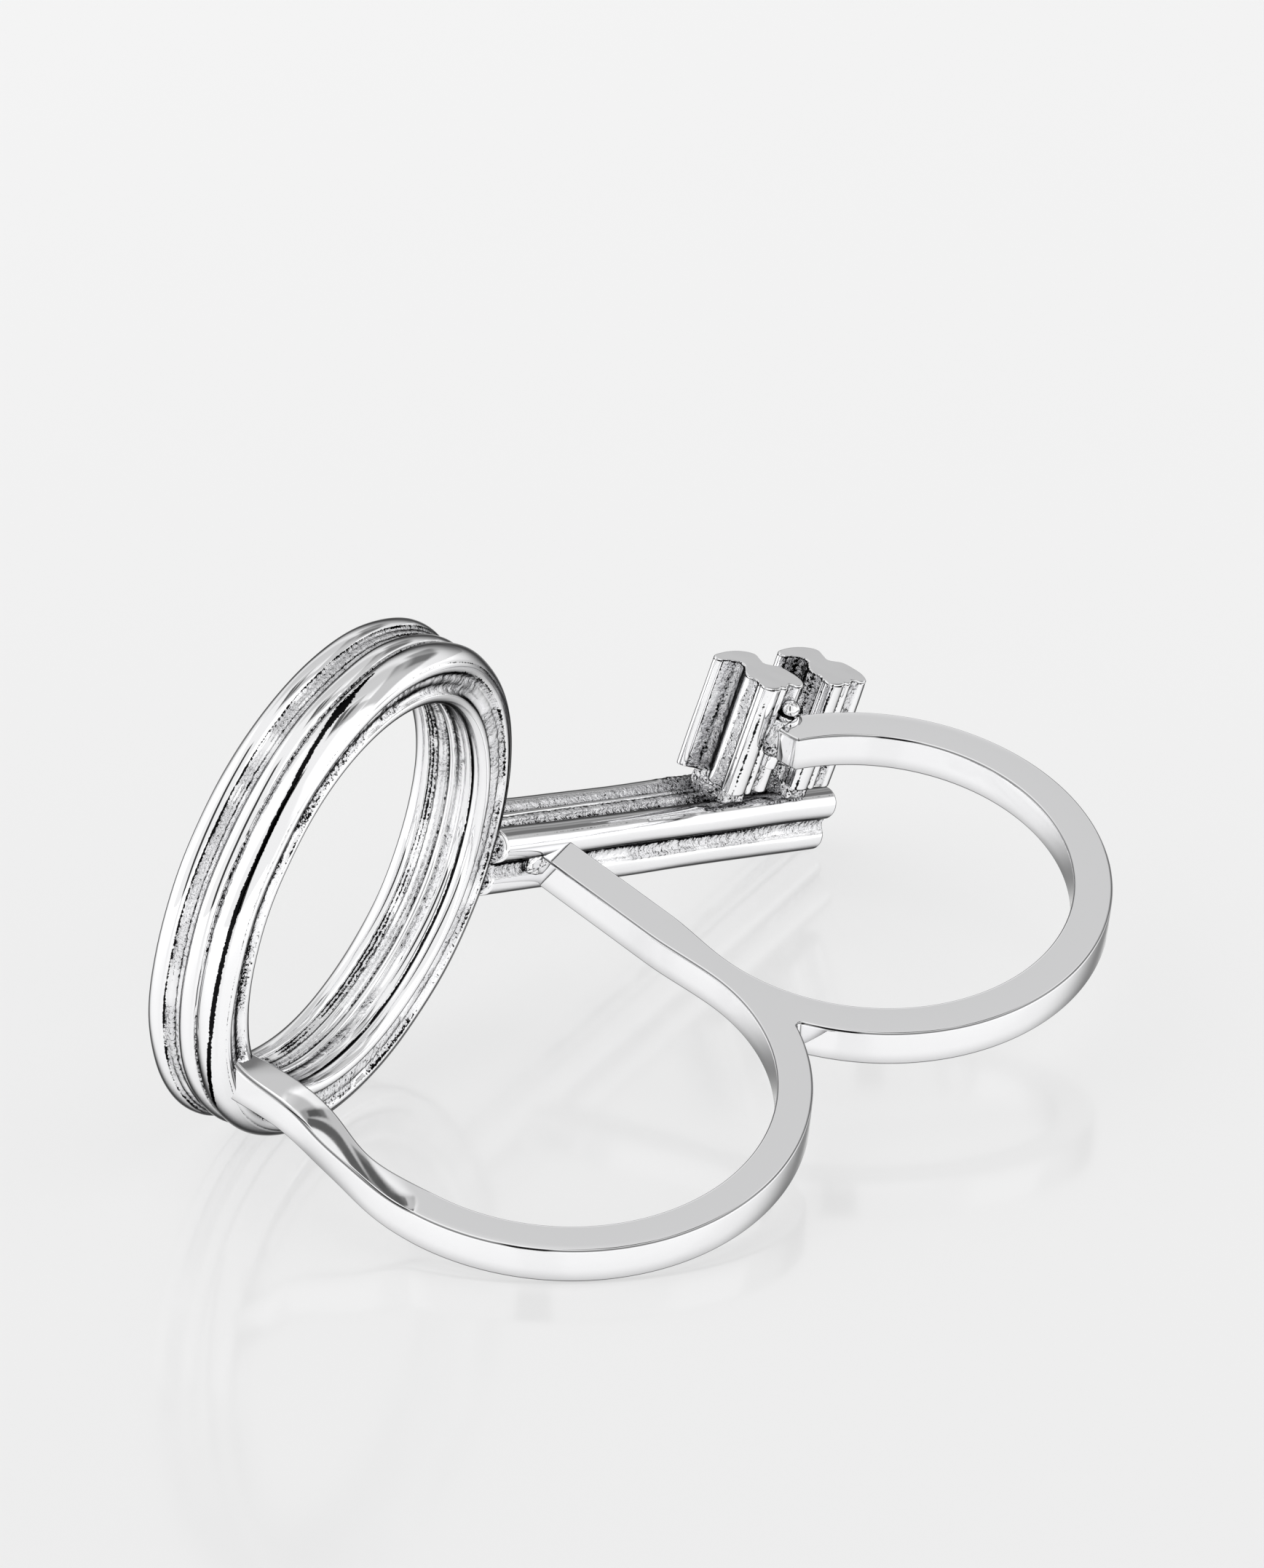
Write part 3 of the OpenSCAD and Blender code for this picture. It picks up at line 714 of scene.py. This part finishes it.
def build_blocks():
    """Two bit blocks: the lobed section carried outwards from the stem and leaned towards the bow,
    with a soft rim, a flat polished end and a rough underside."""
    _, key, _, _ = sizes()
    height = MM * key.block_l
    sec = closed_curve(BLOCK_SECTION, BLOCK_POINTS)
    away = unit(sec[:, :2] - sec[:, :2].mean(0))
    h = height * np.linspace(0, 1, BLOCK_RINGS)[:, None]
    for i, name in enumerate(("bit_block_near", "bit_block_far")):
        x = sec[None, :, 0] + BLOCK_LEAN * (height - h) + BLOCK_X + i * MM * key.block_pitch
        p = np.stack([x, sec[None, :, 1] - BLOCK_DROP * i + 0 * x, BLOCK_Z + h + 0 * x], -1)
        p[..., :2] += 0.03 * grain(p * [1, 1, 0.35], 0.9, 40 + i)[..., None] * away
        sand = np.clip(sec[None, :, 2] * (0.85 + 0.5 * grain(p, 0.7, 43 + i)), 0, 1)
        dark = np.clip(sec[None, :, 3] * (0.85 + 0.5 * grain(p, 0.9, 52 + i)), 0, 1)
        if i == 1:
            # The outer block is rougher on the side that faces the near one
            rougher = smooth((1.6 - sec[None, :, 0]) / 0.4) * smooth((sec[None, :, 1] - 0.9) / 0.3)
            rougher = rougher * smooth((2.95 - sec[None, :, 1]) / 0.1)
            sand = np.clip(sand + 0.75 * rougher, 0, 1)
            dark = np.clip(dark + 0.12 * rougher, 0, 1)
        rough = grain(p * [1, 1, 0.6], 0.15, 45 + i) + 0.6 * grain(p, 0.09, 47 + i)
        p[..., :2] += (0.045 * rough * sand)[..., None] * away
        top = np.repeat(p[-1:], 3, 0)
        top[..., :2] -= np.array([0.02, 0.06, 0.12])[:, None, None] * away
        top[..., 2] = BLOCK_Z + height - np.array([0.03, 0.005, 0.0])[:, None]
        p[-1, :, 2] -= 0.08
        low = p[0].mean(0)
        under = low + (p[0] - low) * np.linspace(0.94, 0.03, 10)[:, None, None]
        under[..., 2] += 0.05 * grain(under, 0.25, 49 + i)
        rings = np.concatenate([under[::-1], p, top])
        rim, end = np.zeros(top.shape[:2]), np.zeros(rings.shape[:2])
        layer = np.concatenate([np.full(under.shape[:2], 0.9), sand, rim])
        # Painted shade: a dark outline on the first ring of the flat end's rim
        rim[0] = 0.45
        shade = np.concatenate([np.full(under.shape[:2], 0.2), dark, rim])
        # The flat end's last two rings hold back the painted outline shade
        end[-2:] = 1.0
        weigh_normals(make_piece(name, key_place(rings), tube_faces(len(rings), BLOCK_POINTS),
                                 material(CAST, silver_cast), {"sand": layer, "dark": shade, "flat": end}))


def lump(centre, radii, power, seed, rough, rows=48, cols=64):
    """Rough lump in the stem's frame: a ball whose sines and cosines are raised to a power, so that a
    small power makes it boxy, with noise pushed out along its radius. Each pole is a small ring."""
    v = np.linspace(-np.pi / 2, np.pi / 2, rows)[1:-1, None]
    u = np.linspace(0, 2 * np.pi, cols, endpoint=False)[None]

    def bent(value):
        return np.sign(value) * np.abs(value) ** power

    reach = bent(np.cos(v))
    p = np.stack([reach * bent(np.cos(u)), reach * bent(np.sin(u)), bent(np.sin(v)) + 0 * u], -1)
    small = 0.02 * np.stack([np.cos(u[0]), np.sin(u[0]), 0 * u[0]], -1)
    p = np.concatenate([[small - [0, 0, 1]], p, [small + [0, 0, 1]]])
    p = p * np.asarray(radii) + np.asarray(centre)
    way = unit(p - np.asarray(centre))
    return p + (rough * (grain(p, 0.35, seed) + 0.5 * grain(p, 0.15, seed + 1)))[..., None] * way


def turned(path, radii, cols=40):
    """Round rod in the stem's frame: circles of the given radii square to a straight path, drawn in to
    a small ring at both ends."""
    path = np.asarray(path, float)
    way = unit(path[-1] - path[0])
    side = unit(np.cross(way, [0.3, 1.0, 0.2]))
    up = np.cross(way, side)
    a = np.linspace(0, 2 * np.pi, cols, endpoint=False)
    ring = np.cos(a)[:, None] * side + np.sin(a)[:, None] * up
    return path[:, None] + np.asarray(radii)[:, None, None] * ring


# Solder post: its place across the stem, then at heights above the stem its radius and darkness, up
# to the neck of its ball, and the ball's height and its radii along and across
POST_AT = (15.68, -0.07)
POST_H = (2.6, 2.62, 3.0, 4.4, 4.72, 4.78, 4.84, 4.90, 5.08, 5.14, 5.19, 5.25)
POST_R = (0.05, 0.33, 0.34, 0.33, 0.33, 0.29, 0.29, 0.36, 0.36, 0.30, 0.26, 0.30)
POST_DARK = (0.0, 0.0, 0.0, 0.0, 0.0, 1.0, 1.0, 0.0, 0.0, 1.0, 1.0, 0.6)
BALL_H, BALL_HIGH, BALL_WIDE = 5.50, 0.37, 0.42


def build_bit_joints():
    """Rough feet under the blocks, the ball-ended solder post, the solder that ties the second loop's
    end to the near block, and the creased solder where the strut meets the stem."""
    _, key, _, _ = sizes()

    def add(name, p, sand, dark):
        layers = {"sand": sand + np.zeros(p.shape[:2]), "dark": dark + np.zeros(p.shape[:2])}
        make_piece(name, key_place(p), tube_faces(*p.shape[:2]), material(CAST, silver_cast), layers)

    for i, name in enumerate(("bit_foot_near", "bit_foot_far")):
        at = (15.35 + MM * key.block_pitch * i, 1.75 - BLOCK_DROP * i, 0.75)
        add(name, lump(at, (0.86, 1.12, 0.78), 0.45, 60 + 3 * i, 0.09), 0.9, 0.1)
    fine = np.linspace(0, len(POST_H) - 1, 60)
    h, r, shade = [np.interp(fine, np.arange(len(POST_H)), v) for v in (POST_H, POST_R, POST_DARK)]
    ball = np.linspace(0.78, np.pi - 0.03, 24)
    h, r = np.r_[h, BALL_H - BALL_HIGH * np.cos(ball)], np.r_[r, BALL_WIDE * np.sin(ball)]
    path = np.stack([np.full_like(h, POST_AT[0]), np.full_like(h, POST_AT[1]), h], -1)
    add("solder_post", turned(path, r), 0.0, np.r_[shade, np.zeros(24)][:, None])
    p = lump((2.45, 0.3, -1.15), (0.8, 0.33, 0.5), 0.8, 80, 0.06)
    crease = np.clip(1.6 * np.abs(grain(p, 0.5, 83)), 0, 1)
    add("strut_solder", p, 0.1, 0.6 * (1 - crease) ** 2)
    p = lump((15.75, -0.1, 4.1), (0.75, 0.5, 0.95), 0.6, 70, 0.07)
    hollow = smooth((4.2 - p[..., 2]) / 0.5)
    add("bit_solder", p, 0.25 + 0.65 * hollow, 0.05 + 0.1 * hollow)


# Stage

def soft_card(tree, azimuth, elevation, half_wide, half_high, soft, value):
    """One studio card in the direction of an azimuth from +Y towards +X and an elevation: 1 less its
    value inside its half width and half height, in degrees seen from the ring, with soft edges."""
    az, el = math.radians(azimuth), math.radians(elevation)
    ray = tree.nodes.get("ray") or add_node(tree, "ShaderNodeTexCoord", {"name": "ray"})
    ahead = (math.cos(el) * math.sin(az), math.cos(el) * math.cos(az), math.sin(el))
    right = (math.cos(az), -math.sin(az), 0.0)
    up = (-math.sin(el) * math.sin(az), -math.sin(el) * math.cos(az), math.cos(el))
    near = add_node(tree, "ShaderNodeVectorMath", {"operation": "DOT_PRODUCT", 1: ahead},
                    [(0, ray, "Generated")])
    mask = add_node(tree, "ShaderNodeMath", {"operation": "GREATER_THAN", 1: 0.0}, [(0, near, "Value")])
    for axis, half in ((right, half_wide), (up, half_high)):
        off = add_node(tree, "ShaderNodeVectorMath", {"operation": "DOT_PRODUCT", 1: axis},
                       [(0, ray, "Generated")])
        slant = add_node(tree, "ShaderNodeMath", {"operation": "DIVIDE"},
                         [(0, off, "Value"), (1, near, "Value")])
        away = add_node(tree, "ShaderNodeMath", {"operation": "ABSOLUTE"}, [(0, slant, "Value")])
        band = add_node(tree, "ShaderNodeMapRange", {
            "interpolation_type": "SMOOTHSTEP", "From Min": math.tan(math.radians(half)),
            "From Max": math.tan(math.radians(half + soft)), "To Min": 1.0, "To Max": 0.0},
            [("Value", away, "Value")])
        mask = add_node(tree, "ShaderNodeMath", {"operation": "MULTIPLY"},
                        [(0, mask, "Value"), (1, band, "Result")])
    return add_node(tree, "ShaderNodeMath", {"operation": "MULTIPLY_ADD", 1: -value, 2: 1.0},
                    [(0, mask, "Value")])


# Cards of the studio: azimuth, elevation, half width, half height, soft edge and how much they darken,
# where less than nothing brightens
CARDS = (
    (4, 55, 22, 9, 12, 0.3),
    (-172, 27, 6, 40, 4, 0.96),
    (88, 60, 5, 12, 4, 0.42),
    (72, 74, 11, 7, 4, 0.4),
    (60, 32, 22, 13, 6, 0.5),
    (64, 80, 10, 3, 2, 0.8),
    (76, 70, 5, 2.2, 2, 0.7),
    (34, 24, 13, 5, 7, 0.6),
    (-30, 5, 14, 9, 8, 0.55),
    (14, 12, 10, 6, 8, 0.12),
    (-95, 30, 22, 24, 10, -0.35),
    (95, 24, 26, 22, 12, -0.3),
)


# Half the floor's side in metres, and the painted light: how much more the board glows to the silver's
# mirror rays than to the eye
FLOOR_HALF = 3.0
GLOSSY_RAY_GLOW = 0.13


def build_stage():
    """Pale glossy floor that glows a little, so that shadows stay faint, a bright room with a few dark
    and bright cards for the silver to mirror, and the camera at the photograph's angle."""
    _, _, _, look = sizes()
    scene = bpy.context.scene
    mesh = bpy.data.meshes.new("floor")
    corners = [(x * FLOOR_HALF, y * FLOOR_HALF, 0) for x, y in ((-1, -1), (1, -1), (1, 1), (-1, 1))]
    mesh.from_pydata(corners, [], [(0, 1, 2, 3)])
    floor = bpy.data.objects.new("floor", mesh)
    scene.collection.objects.link(floor)
    m, t = start_material("pale_gloss_board")
    # Painted light: the board glows brighter to glossy rays than to the camera, so the silver mirrors a
    # brighter board
    seen = add_node(t, "ShaderNodeLightPath")
    glow = add_node(t, "ShaderNodeMix", {"data_type": "FLOAT", NUMBER_A: look.glow,
                                         NUMBER_B: look.glow + GLOSSY_RAY_GLOW}, [(0, seen, "Is Glossy Ray")])
    shader = add_node(t, "ShaderNodeBsdfPrincipled", {
        "Base Color": tuple(look.floor), "Roughness": 0.12, "IOR": 1.5, "Emission Color": linear("#FFFFFF")},
        [("Emission Strength", glow, 0)])
    add_node(t, "ShaderNodeOutputMaterial", None, [("Surface", shader, "BSDF")])
    mesh.materials.append(m)

    world = bpy.data.worlds.new("studio")
    scene.world = world
    world.use_nodes = True
    t = world.node_tree
    t.nodes.clear()
    total = add_node(t, "ShaderNodeValue")
    total.outputs[0].default_value = look.light
    for row in CARDS:
        card = soft_card(t, *row)
        total = add_node(t, "ShaderNodeMath", {"operation": "MULTIPLY"}, [(0, total, 0), (1, card, 0)])
    back = add_node(t, "ShaderNodeBackground", {"Color": linear("#FFFFFF")}, [("Strength", total, 0)])
    add_node(t, "ShaderNodeOutputWorld", None, [("Surface", back, "Background")])

    turn = CAM_TURN @ REST.T
    place = CAM_PLACE - turn @ SHIFT
    at = -turn.T @ place / MM
    view = np.eye(4)
    view[:3, :3] = (turn * np.array([1, -1, -1])[:, None]).T
    view[:3, 3] = at
    data = bpy.data.cameras.new("camera")
    camera = bpy.data.objects.new("camera", data)
    scene.collection.objects.link(camera)
    camera.matrix_world = Matrix(view.tolist())
    data.sensor_width = SENSOR
    data.lens = FOCAL_PX * SENSOR / LONG_PX
    data.clip_start, data.clip_end = 0.01, 20.0
    scene.camera = camera
    scene.view_settings.view_transform = "Standard"


# Operators and panel

class RING_OT_band(bpy.types.Operator):
    """Build the flat silver wire: both finger loops, the strut and the twisted end."""
    bl_idname = "ring.band"
    bl_label = "Build band"

    def execute(self, context):
        build_band()
        return {"FINISHED"}


class RING_OT_bow(bpy.types.Operator):
    """Build the ribbed ring of the bow."""
    bl_idname = "ring.bow"
    bl_label = "Build bow"

    def execute(self, context):
        build_bow()
        return {"FINISHED"}


class RING_OT_stem(bpy.types.Operator):
    """Build the ribbed bar of the stem."""
    bl_idname = "ring.stem"
    bl_label = "Build stem"

    def execute(self, context):
        build_stem()
        return {"FINISHED"}


class RING_OT_bit(bpy.types.Operator):
    """Build the two bit blocks with their feet, post and solder."""
    bl_idname = "ring.bit"
    bl_label = "Build bit"

    def execute(self, context):
        build_blocks()
        build_bit_joints()
        return {"FINISHED"}


class RING_OT_stage(bpy.types.Operator):
    """Build the floor, the room light and the camera."""
    bl_idname = "ring.stage"
    bl_label = "Build stage"

    def execute(self, context):
        build_stage()
        return {"FINISHED"}


OPERATORS = (RING_OT_band, RING_OT_bow, RING_OT_stem, RING_OT_bit, RING_OT_stage)


class RING_PT_panel(bpy.types.Panel):
    """Lists the ring's sizes, colours and building steps."""
    bl_idname = "RING_PT_panel"
    bl_label = "Double ring"
    bl_space_type = "VIEW_3D"
    bl_region_type = "UI"
    bl_category = "Double ring"

    def draw(self, context):
        for group in sizes():
            box = self.layout.box()
            for name in group.bl_rna.properties.keys():
                if name not in ("rna_type", "name"):
                    box.prop(group, name)
        for step in OPERATORS:
            self.layout.operator(step.bl_idname)


GROUPS = {"ring_band": BandSizes, "ring_key": KeySizes, "ring_silver": SilverLook, "ring_stage": StageLook}


def register():
    """Registers the classes and hangs the groups of properties on the scene."""
    for cls in (*GROUPS.values(), *OPERATORS, RING_PT_panel):
        bpy.utils.register_class(cls)
    for name, group in GROUPS.items():
        setattr(bpy.types.Scene, name, PointerProperty(type=group))


def unregister():
    """Takes the groups and classes away again."""
    for name in GROUPS:
        delattr(bpy.types.Scene, name)
    for cls in (RING_PT_panel, *reversed(OPERATORS), *reversed(list(GROUPS.values()))):
        bpy.utils.unregister_class(cls)


def main():
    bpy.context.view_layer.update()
    register()
    for step in OPERATORS:
        group, name = step.bl_idname.split(".")
        getattr(getattr(bpy.ops, group), name)()


if __name__ == "__main__":
    main()
